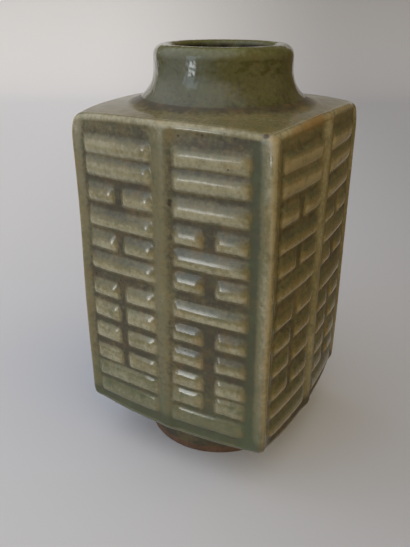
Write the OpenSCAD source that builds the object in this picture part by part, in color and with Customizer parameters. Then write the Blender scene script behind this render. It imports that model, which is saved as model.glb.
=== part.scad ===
// Square vase in the form of a jade cong: four moulded walls with the eight trigrams,
// a round neck and a round foot, assembled from slabs and thrown rings.
// Origin at the centre of the standing ring, +Z up, front wall facing -Y. Millimetres.

/* [Walls] */
// Width of the body between opposite corner edges
body_w = 131; // [120:1:160]
// Thickness of a wall slab at its mitred edges
wall_t = 9; // [8:0.5:12]
// Outward bow of a wall at its middle
wall_bow = 4.3; // [1.5:0.1:6]
// Radius of the four upright corner edges
corner_r = 4.5; // [4:0.5:9]
// Radius of the edges where a wall meets the shoulder and the underside
rim_r = 3; // [1:0.25:3.5]
// Width of wall left standing outside the shoulder and base slabs
rim_w = 4; // [3:0.25:5]

/* [Trigrams] */
// Height of one line of a trigram
line_h = 11.4; // [10:0.2:15]
// Gap between the lines of one trigram
line_gap = 3.2; // [1.2:0.1:4]
// Gap between one trigram and the next
trigram_gap = 5; // [2:0.1:7]
// Width of the break in a broken line, at the panel floor
break_w = 6; // [4:0.5:10]
// Depth of the panels below the frame
panel_d = 2.6; // [2:0.1:4]
// How far the crest of a line stays below the frame
line_sink = 0.4; // [0.2:0.1:1]
// Run of the sloping panel sides
draft = 1.6; // [0.6:0.1:2.5]
// Run of the hipped line ends
line_run = 3.2; // [1:0.1:4]
// Gap between the end of a line and the side of its panel
end_gap = 1.2; // [0.6:0.1:2.5]
// Width of the upright rib between the two panels
rib_w = 11; // [8:0.5:16]
// Width of frame between a panel and the corner edge
frame_w = 11; // [9:0.5:14]
// Height of frame above the panels
head_h = 7.8; // [6:0.1:14]
// Height of frame below the panels
sill_h = 4.6; // [3:0.2:10]

/* [Shoulder and neck] */
// Thickness of the shoulder slab at its edge
shoulder_t = 7; // [6:0.5:10]
// Fall of the shoulder from the neck to the rim, in degrees
shoulder_fall = 5; // [2:0.5:7]
// Height of the neck's seat above the rim
neck_seat_h = 5; // [4:0.5:6.5]
// Outer diameter of the neck
neck_d = 82.6; // [70:0.2:88]
// Radius of the hollow curve from neck to shoulder
neck_flare_r = 20; // [14:0.5:22]
// Thickness of the neck wall
neck_t = 9; // [8:0.5:11]
// Thickness of the rolled lip
lip_t = 13; // [12:0.5:14]
// Height of the lip's top above the rim
neck_h = 34; // [31:0.5:45]

/* [Base and foot] */
// Thickness of the base slab at its edge
base_t = 8; // [6:0.5:11]
// Rise of the underside from the foot to the rim, in degrees
base_rise = 5; // [2:0.5:7]
// Depth of the foot's seat below the rim
foot_seat_h = 4; // [3:0.5:5.5]
// Outer diameter of the foot ring
foot_d = 98.2; // [88:0.2:102]
// Radius of the hollow curve from foot to underside
foot_flare_r = 14; // [10:0.5:16]
// Thickness of the foot ring
foot_t = 8.5; // [6:0.5:11]
// Height of the rim above the surface that the foot stands on
foot_h = 30.5; // [26:0.5:40]
// Width of the bevel on the bare edges of the foot
foot_bevel = 1.5; // [0.5:0.25:2.5]

/* [Seams] */
// Slip between the neck's spigot and the hole in the shoulder
slip_gap = 0.2; // [0.1:0.05:0.4]
// Radius of the clay coils pressed into the upright inner corners
corner_coil_r = 8; // [5:0.5:12]
// Radius of the clay coils pressed round the floor
floor_coil_r = 6; // [4:0.5:10]

/* [Hidden] */

// The eight trigrams, read from the top line down: 1 is a whole line, 0 a broken one
qian = [1, 1, 1];
dui = [0, 1, 1];
li = [1, 0, 1];
zhen = [0, 0, 1];
xun = [1, 1, 0];
kan = [0, 1, 0];
gen = [1, 0, 0];
kun = [0, 0, 0];
left_column = [xun, li, kun, dui];
right_column = [qian, kan, gen, zhen];
lines_each = 3;
trigrams_each = len(left_column);
line_count = lines_each * trigrams_each;

// Fragments of the drawn curves
curve_fn = 96;
bow_fn = 900;

// A little more than flush, for cuts that pass right through
past = 1;

// Plan of the walls: each outer face is part of a large cylinder with an upright axis
half_w = body_w / 2;
inner_w = half_w - wall_t;
seat_w = half_w - rim_w;
bow_r = (pow(half_w, 2) + pow(wall_bow, 2)) / (2 * wall_bow);
bow_y = bow_r - half_w - wall_bow;
bow_half_angle = 1.2 * asin(half_w / bow_r);
rim_radius = half_w + wall_bow;
reach = 2 * body_w;
corner_c = (sqrt(2 * pow(bow_r - corner_r, 2) - pow(bow_y, 2)) - bow_y) / 2;

// Heights, from the surface that the foot stands on
line_crest = panel_d - line_sink;
panel_floor_r = bow_r - panel_d;
lines_h = line_count * line_h + (line_count - trigrams_each) * line_gap
    + (trigrams_each - 1) * trigram_gap;
panel_h = lines_h + 2 * line_gap;
wall_h = sill_h + panel_h + head_h;
shoulder_z = foot_h + wall_h;
panel_z = foot_h + sill_h;
floor_z = foot_h + base_t;
ceiling_z = shoulder_z - shoulder_t;

// Widths across a wall, measured from its middle at the panel floor
panel_in = rib_w / 2;
panel_out = half_w - frame_w;
line_in = panel_in + end_gap;
line_out = panel_out - end_gap;
line_mid = (line_in + line_out) / 2;

// Round pieces
neck_r = neck_d / 2;
bore_r = neck_r - neck_t;
spigot_r = neck_r - neck_t / 4;
lip_r = lip_t / 2;
lip_c = neck_r - lip_r;
foot_r = foot_d / 2;
foot_in = foot_r - foot_t;

glaze_wall = "#8c8a62";
glaze_shoulder = "#85866a";
glaze_neck = "#77744c";
glaze_foot = "#6e6547";
bare_clay = "#94664c";

// Middle height of a line, counted from the top of the panel
function line_z(i) = panel_z + panel_h - line_gap - (i + 0.5) * line_h - i * line_gap
    - floor(i / lines_each) * (trigram_gap - line_gap);

// Whether line i of a column of trigrams is whole
function is_whole(column, i) = column[floor(i / lines_each)][i % lines_each] == 1;

// Point t panel depths out along a slope that leaves the panel floor at x and runs over by run each depth
function slope_at(x, run, t) =
    [x + run * t, bow_y - sqrt(pow(panel_floor_r, 2) - pow(x, 2)) - panel_d * t];

// Plan of a raised line (run above 0) or of a sunk panel (run below 0) from a to b
module band_plan(a, b, run) {
    polygon([slope_at(a, run, -1), slope_at(a, run, 2), slope_at(b, -run, 2), slope_at(b, -run, -1)]);
}

// Turns an upright section, drawn at its distance from the axis of the bow, along the wall
module along_bow() {
    translate([0, bow_y, 0])
        rotate([0, 0, -90 - bow_half_angle])
            rotate_extrude(angle = 2 * bow_half_angle, $fn = bow_fn)
                children();
}

// Upright prism over the height of the body
module upright() {
    translate([0, 0, foot_h - reach / 2])
        linear_extrude(wall_h + reach)
            children();
}

// Section of the domed top line of one panel line: part of a circle standing on the panel floor
module line_section(i) {
    round_r = (pow(line_h / 2, 2) + pow(line_crest, 2)) / (2 * line_crest);
    intersection() {
        translate([panel_floor_r + line_crest - round_r, line_z(i)])
            circle(r = round_r, $fn = curve_fn);
        translate([panel_floor_r - past, line_z(i) - line_h / 2])
            square([line_crest + 2 * past, line_h]);
    }
}

// The whole or the broken lines of one column, as raised bars
module column_lines(column, side, whole) {
    picked = [for (i = [0 : line_count - 1]) if (is_whole(column, i) == whole) i];
    intersection() {
        along_bow()
            for (i = picked)
                line_section(i);
        upright()
            mirror([side < 0 ? 1 : 0, 0])
                if (whole) {
                    band_plan(line_in, line_out, line_run);
                } else {
                    band_plan(line_in, line_mid - break_w / 2, line_run);
                    band_plan(line_mid + break_w / 2, line_out, line_run);
                }
    }
}

// What is taken out of a wall for one sunk panel, with its lines left standing
module panel_cut(column, side) {
    difference() {
        intersection() {
            along_bow()
                polygon([
                    [panel_floor_r, panel_z],
                    [panel_floor_r + 2 * panel_d, panel_z - 2 * draft],
                    [panel_floor_r + 2 * panel_d, panel_z + panel_h + 2 * draft],
                    [panel_floor_r, panel_z + panel_h]
                ]);
            upright()
                mirror([side < 0 ? 1 : 0, 0])
                    band_plan(panel_in, panel_out, -draft);
        }
        column_lines(column, side, true);
        column_lines(column, side, false);
    }
}

// Plan of one wall: mitred at 45 degrees, flat inside, rounded at the outer corners
module wall_plan() {
    tangent = [corner_c, -corner_c - bow_y] / (bow_r - corner_r);
    difference() {
        polygon([[-inner_w, -inner_w], [inner_w, -inner_w], [reach, -reach], [-reach, -reach]]);
        for (side = [0, 1])
            mirror([side, 0])
                difference() {
                    polygon([
                        [corner_c, -corner_c],
                        [corner_c, -corner_c] + reach * tangent,
                        [reach, -reach],
                        [corner_c, -corner_c] - reach * [tangent[1], tangent[0]]
                    ]);
                    translate([corner_c, -corner_c])
                        circle(r = corner_r, $fn = curve_fn);
                }
    }
}

// Section of a wall with rounded top and bottom edges
module wall_section() {
    inside = bow_r - 2 * wall_t - wall_bow;
    translate([inside, foot_h])
        square([bow_r - rim_r - inside, wall_h]);
    translate([inside, foot_h + rim_r])
        square([bow_r - inside, wall_h - 2 * rim_r]);
    for (z = [foot_h + rim_r, shoulder_z - rim_r])
        translate([bow_r - rim_r, z])
            circle(r = rim_r, $fn = curve_fn);
}

// Everything between the falling shoulder and the rising underside
module body_envelope() {
    rotate_extrude($fn = curve_fn)
        polygon([
            [0, foot_h - rim_radius * tan(base_rise)],
            [reach, foot_h + (reach - rim_radius) * tan(base_rise)],
            [reach, shoulder_z - (reach - rim_radius) * tan(shoulder_fall)],
            [0, shoulder_z + rim_radius * tan(shoulder_fall)]
        ]);
}

// Square pocket for a slab, open at one end of the walls
module slab_block(z, h) {
    translate([-seat_w, -seat_w, z])
        cube([2 * seat_w, 2 * seat_w, h]);
}

// One wall slab: bowed, mitred, rebated at both ends, with its two panels of trigrams
module wall(turn) {
    color(glaze_wall)
        rotate([0, 0, turn])
            difference() {
                intersection() {
                    along_bow()
                        wall_section();
                    upright()
                        wall_plan();
                    body_envelope();
                }
                slab_block(ceiling_z, shoulder_t + past * body_w);
                slab_block(foot_h - past * body_w, base_t + past * body_w);
                panel_cut(left_column, -1);
                panel_cut(right_column, 1);
            }
}

// Section of a square end closing on a tube: a sloping slab and the hollow flare up to the tube.
// Heights run up from the rim.
module end_section(tube_r, flare_r, slope, thick) {
    flare_c = [tube_r + flare_r, (rim_radius - tube_r - flare_r) * tan(slope) + flare_r / cos(slope)];
    touch = flare_c - flare_r * [sin(slope), cos(slope)];
    polygon([
        [0, -thick],
        [reach, -thick],
        [reach, (rim_radius - reach) * tan(slope)],
        [tube_r, (rim_radius - tube_r) * tan(slope)],
        [0, (rim_radius - tube_r) * tan(slope)]
    ]);
    difference() {
        polygon([[0, 0], [touch[0], 0], touch, flare_c, [0, flare_c[1]]]);
        translate(flare_c)
            circle(r = flare_r, $fn = curve_fn);
    }
}

// Shoulder end of the body, drawn at its height
module shoulder_section() {
    translate([0, shoulder_z])
        end_section(neck_r, neck_flare_r, shoulder_fall, shoulder_t);
}

// Foot end of the body, drawn at its height
module base_section() {
    translate([0, foot_h])
        mirror([0, 1])
            end_section(foot_r, foot_flare_r, base_rise, base_t);
}

// Band of a section between two heights, from a radius outwards
module band(r, z0, z1) {
    intersection() {
        children();
        translate([r, z0])
            square([reach, z1 - z0]);
    }
}

// Square shoulder slab, let into the tops of the walls, with the hole and seat for the neck
module shoulder_slab() {
    color(glaze_shoulder)
        intersection() {
            rotate_extrude($fn = curve_fn)
                band(spigot_r, ceiling_z, shoulder_z + neck_seat_h)
                    shoulder_section();
            slab_block(ceiling_z, shoulder_t + neck_seat_h);
        }
}

// Thrown neck: flared foot on the shoulder, spigot through its hole, rolled lip
module neck() {
    top_z = shoulder_z + neck_h;
    flare_z = shoulder_z + (rim_radius - neck_r - neck_flare_r) * tan(shoulder_fall)
        + neck_flare_r / cos(shoulder_fall);
    color(glaze_neck)
        rotate_extrude($fn = curve_fn) {
            band(bore_r, shoulder_z + neck_seat_h, flare_z)
                shoulder_section();
            translate([bore_r, ceiling_z])
                square([spigot_r - slip_gap - bore_r, top_z - lip_r - ceiling_z]);
            translate([bore_r, flare_z - past])
                square([neck_t, top_z - lip_r - flare_z + past]);
            translate([lip_c, top_z - lip_r])
                circle(r = lip_r, $fn = curve_fn);
        }
}

// Square base slab, let into the feet of the walls, its underside rising from the foot to the rim
module base_slab() {
    seat_z = foot_h - foot_seat_h;
    color(bare_clay)
        difference() {
            slab_block(seat_z, floor_z - seat_z);
            rotate_extrude($fn = curve_fn)
                difference() {
                    translate([foot_r, seat_z - past])
                        square([reach, foot_seat_h + base_t / 2 + past]);
                    base_section();
                }
        }
}

// Thrown foot ring under the base slab, with bevelled bare edges
module foot_ring() {
    flare_z = foot_h - (rim_radius - foot_r - foot_flare_r) * tan(base_rise)
        - foot_flare_r / cos(base_rise);
    color(glaze_foot)
        rotate_extrude($fn = curve_fn) {
            band(foot_in, flare_z, foot_h - foot_seat_h)
                base_section();
            polygon([
                [foot_in + foot_bevel, 0],
                [foot_r - foot_bevel, 0],
                [foot_r, foot_bevel],
                [foot_r, flare_z],
                [foot_r, flare_z + past],
                [foot_in, flare_z + past],
                [foot_in, foot_bevel]
            ]);
        }
}

// Coil of clay pressed into one upright inner corner, from floor to shoulder
module corner_coil(turn) {
    color(bare_clay)
        rotate([0, 0, turn])
            translate([inner_w, -inner_w, floor_z])
                linear_extrude(ceiling_z - floor_z)
                    intersection() {
                        circle(r = corner_coil_r, $fn = curve_fn);
                        translate([-corner_coil_r, 0])
                            square(corner_coil_r);
                    }
}

// Coil of clay pressed along the foot of one wall, between the corner coils
module floor_coil(turn) {
    coil_l = 2 * (inner_w - corner_coil_r);
    color(bare_clay)
        rotate([0, 0, turn])
            translate([-coil_l / 2, -inner_w, floor_z])
                rotate([90, 0, 90])
                    linear_extrude(coil_l)
                        intersection() {
                            circle(r = floor_coil_r, $fn = curve_fn);
                            square(floor_coil_r);
                        }
}

wall(0);  // front_wall
wall(90);  // right_wall
wall(180);  // back_wall
wall(270);  // left_wall
shoulder_slab();
neck();
base_slab();
foot_ring();
corner_coil(0);  // corner_coil_front_right
corner_coil(90);  // corner_coil_back_right
corner_coil(180);  // corner_coil_back_left
corner_coil(270);  // corner_coil_front_left
floor_coil(0);  // floor_coil_front
floor_coil(90);  // floor_coil_right
floor_coil(180);  // floor_coil_back
floor_coil(270);  // floor_coil_left
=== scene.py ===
# Cong vase: a square celadon vase with trigram lines in relief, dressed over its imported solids.
import math

import bpy
import numpy as np
from mathutils import Matrix, Vector


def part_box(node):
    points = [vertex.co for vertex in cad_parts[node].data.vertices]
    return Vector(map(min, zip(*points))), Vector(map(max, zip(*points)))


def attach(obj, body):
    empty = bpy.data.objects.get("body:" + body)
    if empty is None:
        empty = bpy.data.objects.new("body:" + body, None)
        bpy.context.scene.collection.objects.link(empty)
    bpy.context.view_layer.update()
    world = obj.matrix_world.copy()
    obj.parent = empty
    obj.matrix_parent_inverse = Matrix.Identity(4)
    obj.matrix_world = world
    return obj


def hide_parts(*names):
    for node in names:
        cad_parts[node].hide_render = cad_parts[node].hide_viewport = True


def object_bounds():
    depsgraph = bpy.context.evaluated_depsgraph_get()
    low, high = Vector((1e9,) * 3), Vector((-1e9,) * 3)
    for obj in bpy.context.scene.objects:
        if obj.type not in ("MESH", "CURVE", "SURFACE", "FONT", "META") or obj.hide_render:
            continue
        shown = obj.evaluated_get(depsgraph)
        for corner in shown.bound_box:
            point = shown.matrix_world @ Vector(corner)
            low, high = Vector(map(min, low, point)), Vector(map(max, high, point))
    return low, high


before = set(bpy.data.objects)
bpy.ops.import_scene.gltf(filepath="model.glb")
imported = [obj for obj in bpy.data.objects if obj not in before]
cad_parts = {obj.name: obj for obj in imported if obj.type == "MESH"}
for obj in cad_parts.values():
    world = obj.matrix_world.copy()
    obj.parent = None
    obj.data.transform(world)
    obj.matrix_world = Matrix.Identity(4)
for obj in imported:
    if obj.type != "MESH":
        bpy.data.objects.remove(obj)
cadLow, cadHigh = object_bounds()
mm = 0.001
print("frame loaded:", len(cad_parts), "solids")

# Camera
viewPoint = {
    "place": (176.86 * mm, -331.04 * mm, 283.64 * mm),
    "azimuth": 29.7213,  # degrees round to the right of the front wall
    "lookDown": 24.4646,
    "roll": 0.121,
    "lens": 39.64,
    "sensor": 36,
    "nearest": 0.01,
}


def makeCamera(setting):
    turn = math.radians(setting["azimuth"])
    tilt = math.radians(setting["lookDown"])
    roll = math.radians(setting["roll"])
    forward = Vector((-math.sin(turn) * math.cos(tilt), math.cos(turn) * math.cos(tilt), -math.sin(tilt)))
    right = Vector((math.cos(turn), math.sin(turn), 0))
    up = right.cross(forward)
    rolledRight = right * math.cos(roll) + up * math.sin(roll)
    rolledUp = up * math.cos(roll) - right * math.sin(roll)
    lensData = bpy.data.cameras.new("photoCamera")
    lensData.lens = setting["lens"]
    lensData.sensor_width = setting["sensor"]
    lensData.clip_start = setting["nearest"]
    camera = bpy.data.objects.new("photoCamera", lensData)
    bpy.context.scene.collection.objects.link(camera)
    turned = Matrix((rolledRight, rolledUp, -forward)).transposed().to_4x4()
    camera.matrix_world = Matrix.Translation(setting["place"]) @ turned
    bpy.context.scene.camera = camera


makeCamera(viewPoint)
bpy.context.scene.view_settings.view_transform = "Standard"
print("camera set")


# Node helpers
def addNode(tree, kind, **settings):
    made = tree.nodes.new(kind)
    for key, value in settings.items():
        setattr(made, key, value)
    return made


def plug(tree, value, socket):
    if isinstance(value, bpy.types.NodeSocket):
        tree.links.new(value, socket)
    elif value is not None:
        socket.default_value = value


def calc(tree, operation, a, b=None, c=None):
    made = addNode(tree, "ShaderNodeMath", operation=operation)
    for value, socket in zip((a, b, c), made.inputs):
        plug(tree, value, socket)
    return made.outputs[0]


def ease(tree, value, low, high, start=0.0, end=1.0):
    made = addNode(tree, "ShaderNodeMapRange", interpolation_type="SMOOTHSTEP")
    for given, socket in zip((value, low, high, start, end), made.inputs):
        plug(tree, given, socket)
    return made.outputs[0]


def mixColour(tree, share, first, second, way="MIX"):
    made = addNode(tree, "ShaderNodeMix", data_type="RGBA", blend_type=way)
    plug(tree, share, made.inputs[0])
    for given, socket in ((first, made.inputs[6]), (second, made.inputs[7])):
        if isinstance(given, tuple) and len(given) == 3:
            given = (*given, 1.0)
        plug(tree, given, socket)
    return made.outputs[2]


def noiseAt(tree, place, scale, detail=2.0, roughness=0.5, distortion=0.0):
    made = addNode(tree, "ShaderNodeTexNoise")
    plug(tree, place, made.inputs["Vector"])
    made.inputs["Scale"].default_value = scale
    made.inputs["Detail"].default_value = detail
    made.inputs["Roughness"].default_value = roughness
    made.inputs["Distortion"].default_value = distortion
    return made.outputs[0]


def vectorCalc(tree, operation, a, b):
    made = addNode(tree, "ShaderNodeVectorMath", operation=operation)
    plug(tree, a, made.inputs[0])
    plug(tree, b, made.inputs[1])
    return made.outputs[0]


def shifted(tree, place, offset):
    return vectorCalc(tree, "ADD", place, offset)


def dotWith(tree, place, direction):
    made = addNode(tree, "ShaderNodeVectorMath", operation="DOT_PRODUCT")
    plug(tree, place, made.inputs[0])
    made.inputs[1].default_value = direction
    return made.outputs["Value"]


def partsOf(tree, value):
    made = addNode(tree, "ShaderNodeSeparateXYZ")
    plug(tree, value, made.inputs[0])
    return made.outputs


def bumpFrom(tree, height, depth, strength=0.5, under=None):
    made = addNode(tree, "ShaderNodeBump")
    made.inputs["Strength"].default_value = strength
    made.inputs["Distance"].default_value = depth
    plug(tree, height, made.inputs["Height"])
    plug(tree, under, made.inputs["Normal"])
    return made.outputs[0]


def groupSockets(tree, inputs, outputs):
    for label, kind, value in inputs:
        socket = tree.interface.new_socket(name=label, in_out="INPUT", socket_type=kind)
        if value is not None:
            socket.default_value = value
    for label, kind in outputs:
        tree.interface.new_socket(name=label, in_out="OUTPUT", socket_type=kind)
    return tree.nodes.new("NodeGroupInput"), tree.nodes.new("NodeGroupOutput")


# Array helpers
def ramp(value, start, over):
    return np.clip((value - start) / over, 0, 1)


def bump(value, middle, width):
    return np.exp(-(((value - middle) / width) ** 2))


def eased(share):
    return share**2 * (3 - 2 * share)


# The walls' plan: a slow outward bow between rounded corners
wallLow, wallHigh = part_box("front_wall")
wallShape = {
    "bowOut": float(cadHigh.x) - 0.45 * mm,  # middle of a wall from the axis
    "bowRadius": 501 * mm,
    "cornerRadius": 4.3 * mm,
    "inner": 56.5 * mm,  # inner face from the axis
    "rimLow": float(wallLow.z) - 2.2 * mm,  # glaze hangs below the slab
    "rimHigh": float(wallHigh.z),
    "arris": 4.2 * mm,  # rounding of the top and bottom edges
    "columns": 250,
    "rows": 364,
    "arrisRows": 7,
    "edgeBlend": 14 * mm,  # height over which a wall's end follows the falling shoulder
}
bowCentre = wallShape["bowRadius"] - wallShape["bowOut"]
cornerReach = wallShape["bowRadius"] - wallShape["cornerRadius"]
cornerPlace = (math.sqrt(2 * cornerReach**2 - bowCentre**2) - bowCentre) / 2
bowTurn = math.asin(cornerPlace / cornerReach)
bowLength = wallShape["bowRadius"] * bowTurn
halfPath = bowLength + wallShape["cornerRadius"] * (math.pi / 4 - bowTurn)

# Shoulder and underside: shallow cones that flow into neck and foot
shoulderShape = {
    "slant": math.radians(5),
    "coreRadius": 41.3 * mm,  # of the neck above
    "flareRadius": 20 * mm,
    "seatRadius": 49.06 * mm,  # where the neck stands on the slab
    "thick": 7 * mm,
    "spigot": 39.05 * mm,
    "rings": 56,
    "thin": 0.54,  # how thin the glaze lies, and what its edge and its pool add
    "edgeThin": 0.36,
    "edgeShare": 0.05,
    "poolThin": -0.54,
    "pool": (59 * mm, -9 * mm),  # starts at this radius and is full this much farther in
}
baseShape = {
    "slant": math.radians(5),
    "coreRadius": 49.5 * mm,  # of the foot below
    "flareRadius": 14 * mm,
    "seatRadius": 54.0 * mm,
    "thick": 10.2 * mm,
    "rings": 44,
    "thin": 0.34,
    "edgeThin": 0.0,
    "edgeShare": 0.05,
    "poolThin": -0.2,
    "pool": (64 * mm, -9 * mm),
}


def coneHeight(radius, setting):
    # height above the rim: the cone, then the arc that turns into the neck or foot
    slant, flareR = setting["slant"], setting["flareRadius"]
    centreR = setting["coreRadius"] + flareR
    touchR = centreR - flareR * math.sin(slant)
    coneZ = (wallShape["bowOut"] - radius) * math.tan(slant)
    touchZ = (wallShape["bowOut"] - touchR) * math.tan(slant)
    across = np.clip((centreR - radius) / flareR, -1, 1)
    arcZ = touchZ + flareR * (math.cos(slant) - np.sqrt(1 - across**2))
    return np.where(radius > touchR, coneZ, arcZ)


def shoulderHeight(radius):
    return wallShape["rimHigh"] + coneHeight(radius, shoulderShape)


def undersideHeight(radius):
    return wallShape["rimLow"] - coneHeight(radius, baseShape)


def wallPath(along):
    # plan point and outward direction at a length along the front wall from its middle
    side = np.sign(along)
    far = np.abs(along)
    onBow = far <= bowLength
    turned = np.where(
        onBow,
        far / wallShape["bowRadius"],
        bowTurn + (far - bowLength) / wallShape["cornerRadius"],
    )
    x = np.where(
        onBow,
        wallShape["bowRadius"] * np.sin(turned),
        cornerPlace + wallShape["cornerRadius"] * np.sin(turned),
    )
    y = np.where(
        onBow,
        bowCentre - wallShape["bowRadius"] * np.cos(turned),
        -cornerPlace - wallShape["cornerRadius"] * np.cos(turned),
    )
    return side * x, y, side * np.sin(turned), -np.cos(turned)


# Slow unevenness of a hand-pressed pot, the same field for every piece
handWarp = {
    "amount": 0.3 * mm,
    "limit": 0.33 * mm,
    "waves": 9,
    "length": 95 * mm,
    "spread": 1.7,
    "seed": 41,
    "levelFoot": 40 * mm,  # no rise or fall at the foot and lip, and it grows over these heights
    "levelLip": 25 * mm,
    "roundFoot": 30 * mm,
}
warpDraw = np.random.default_rng(handWarp["seed"])
warpPitch = 2 * math.pi / handWarp["length"] / handWarp["spread"]
warpWaves = warpDraw.normal(0, warpPitch, (handWarp["waves"], 3))
warpPhase = warpDraw.uniform(0, 2 * math.pi, handWarp["waves"])
warpPush = warpDraw.normal(0, 1, (handWarp["waves"], 3)) / math.sqrt(handWarp["waves"])

# Worn corners: where the walls' ends draw in towards the axis
wornCorners = {
    "from": 72 * mm,  # this far from the axis, growing over the next
    "over": 18 * mm,
    "outLimit": 1.1,
    "endLimit": 1.05,
    "top": (206 * mm, 20 * mm, 3.3 * mm),  # starts at this height, grows over this much, and draws in by
    "low": (43 * mm, 15 * mm, 2.8 * mm),
    "settle": 0.3,  # share of the pull that also goes towards the middle
}


def cornerPull(flat):
    radius = np.hypot(flat[:, 0], flat[:, 1])
    out = np.clip((radius - wornCorners["from"]) / wornCorners["over"], 0, wornCorners["outLimit"]) ** 2
    most = wornCorners["endLimit"]
    topFrom, topOver, topPull = wornCorners["top"]
    lowFrom, lowOver, lowPull = wornCorners["low"]
    high = topPull * np.clip((flat[:, 2] - topFrom) / topOver, 0, most) ** 3 * out
    low = lowPull * np.clip((lowFrom - flat[:, 2]) / lowOver, 0, most) ** 3 * out
    share = -(high + low) / np.maximum(radius, mm)
    return np.stack((flat[:, 0] * share, flat[:, 1] * share, wornCorners["settle"] * (low - high)), -1)


def warped(points):
    flat = points.reshape(-1, 3)
    push = np.sin(flat @ warpWaves.T + warpPhase) @ warpPush * handWarp["amount"]
    push = np.clip(push, -handWarp["limit"], handWarp["limit"])
    height = flat[:, 2]
    push[:, 2] *= ramp(height, 0, handWarp["levelFoot"])
    push[:, 2] *= ramp(height, float(cadHigh.z), -handWarp["levelLip"])
    push[:, :2] *= ramp(height, 0, handWarp["roundFoot"])[:, None]
    return (flat + push + cornerPull(flat)).reshape(points.shape)


# Mesh building: skin faces keep given normals, hidden ones stay flat
def makePiece(name, points, skinFaces, hiddenFaces, normals, values, material):
    faces = [tuple(f) for f in skinFaces] + [tuple(f) for f in hiddenFaces]
    mesh = bpy.data.meshes.new(name)
    mesh.from_pydata([tuple(p) for p in points], [], faces)
    mesh.materials.append(material)
    smooth = np.zeros(len(faces), bool)
    smooth[: len(skinFaces)] = True
    mesh.polygons.foreach_set("use_smooth", smooth)
    for label, given in values.items():
        layer = mesh.attributes.new(label, "FLOAT", "POINT")
        layer.data.foreach_set("value", given.astype(np.float32))
    corners = np.zeros(len(mesh.loops), np.int32)
    mesh.loops.foreach_get("vertex_index", corners)
    cornerNormals = np.zeros((len(corners), 3))
    skinCorners = sum(len(f) for f in skinFaces)
    cornerNormals[:skinCorners] = normals[corners[:skinCorners]]
    mesh.normals_split_custom_set([tuple(n) for n in cornerNormals])
    mesh.update()
    piece = bpy.data.objects.new(name, mesh)
    bpy.context.scene.collection.objects.link(piece)
    return piece


def ringFaces(first, second):
    # a closed band of faces between two rings of point numbers
    ring = (first, np.roll(first, -1, axis=-1), np.roll(second, -1, axis=-1), second)
    return np.stack(ring, -1).reshape(-1, 4).tolist()


def gridNormals(points, outward=1.0):
    # points carry one ghost row and column on each side
    alongU = points[1:-1, 2:] - points[1:-1, :-2]
    alongV = points[2:, 1:-1] - points[:-2, 1:-1]
    normals = np.cross(alongU, alongV) * outward
    return normals / np.linalg.norm(normals, axis=-1, keepdims=True)


def gridFaces(rows, columns):
    index = np.arange(rows * columns).reshape(rows, columns)
    return np.stack((index[:-1, :-1], index[:-1, 1:], index[1:, 1:], index[1:, :-1]), -1).reshape(-1, 4)


def blurred(field, radius):
    reach = int(math.ceil(radius * 3))
    kernel = np.exp(-0.5 * (np.arange(-reach, reach + 1) / radius) ** 2)
    kernel /= kernel.sum()
    for axis in (0, 1):
        padded = np.pad(field, [(reach, reach) if a == axis else (0, 0) for a in (0, 1)], mode="edge")
        field = sum(
            weight * np.take(padded, np.arange(i, i + field.shape[axis]), axis=axis)
            for i, weight in enumerate(kernel)
        )
    return field


# Trigram relief, made flat by Geometry Nodes and then bent onto each wall
trigramLines = {
    "left": "SSB SBS BBB BSS",  # whole and broken lines, top to bottom
    "right": "SSS BSB SBB BBS",
    "rowHeight": 11.8 * mm,
    "topRow": 209.6 * mm,  # middle of the first row
    "rowStep": 14.6 * mm,
    "groupStep": 1.8 * mm,  # more room after each third row
    "leftEnds": ((-55.8, -0.1), (-6.9, 0.0)),  # mm across the wall, and drift from row to row
    "leftBreak": ((-34.4, -0.07), (-28.4, -0.2)),
    "rightEnds": ((7.1, -0.28), (52.5, 0.05)),
    "rightBreak": ((25.4, 0.0), (32.2, 0.1)),
    "outerInset": (0.0, 0.6, 0.0, 0.0),  # mm off the first end, wall by wall
    "settle": (-0.4, 1.3, 0.4, 1.2, 2.0, 2.3, 0.7, -0.2, -1.4, -1.4, 0.0, 0.0),  # mm off the even place
    "relief": 1.85 * mm,
    "crest": -0.5,  # of a low row, below its middle, as a share of half a row
    "crestRise": 0.72,  # how much higher the crest lies in the top row
    "crestFrom": (155 * mm, 212 * mm),
    "roundness": 1.05,  # of a bar's upper slope
    "faceRoundness": 0.6,  # of its lower face
    "endRoundness": 0.85,  # of its ends, as a share of its upper slope's
    "leftRun": 3.2 * mm,  # hipped ends
    "rightRun": 6.0 * mm,
    "panelDepth": 1.85 * mm,
    "panelCorner": 9.8 * mm,
    "panelSlope": 8.6 * mm,
    "panelX": (0.4 * mm, 64.6 * mm),
    "panelZ": (25.5 * mm, 229.5 * mm),
    "wobble": 0.55 * mm,
    "wobbleScale": 75.0,
    "wobbleDetail": 1.5,
    "wobbleStep": 7.31,  # how far apart two seeds' wobbles lie
    "glazeSoft": 0.6 * mm,
    "seed": 3,
}


def lineMarks(setting, outerInset):
    marks = []
    for side in ("left", "right"):
        ends, gap = setting[side + "Ends"], setting[side + "Break"]
        for row, kind in enumerate(setting[side].replace(" ", "")):
            z = setting["topRow"] - row * setting["rowStep"] - (row // 3) * setting["groupStep"]
            z += setting["settle"][row] * mm
            edges = ends if kind == "S" else (ends[0], gap[0], gap[1], ends[1])
            places = [(start + drift * row) * mm for start, drift in edges]
            if side == "left":
                places[0] += outerInset * mm
            for a, b in zip(places[::2], places[1::2]):
                first = a + setting["leftRun"]
                last = b - setting["rightRun"]
                marks.append(((first + last) / 2, z, (last - first) / 2))
    return marks


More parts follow.
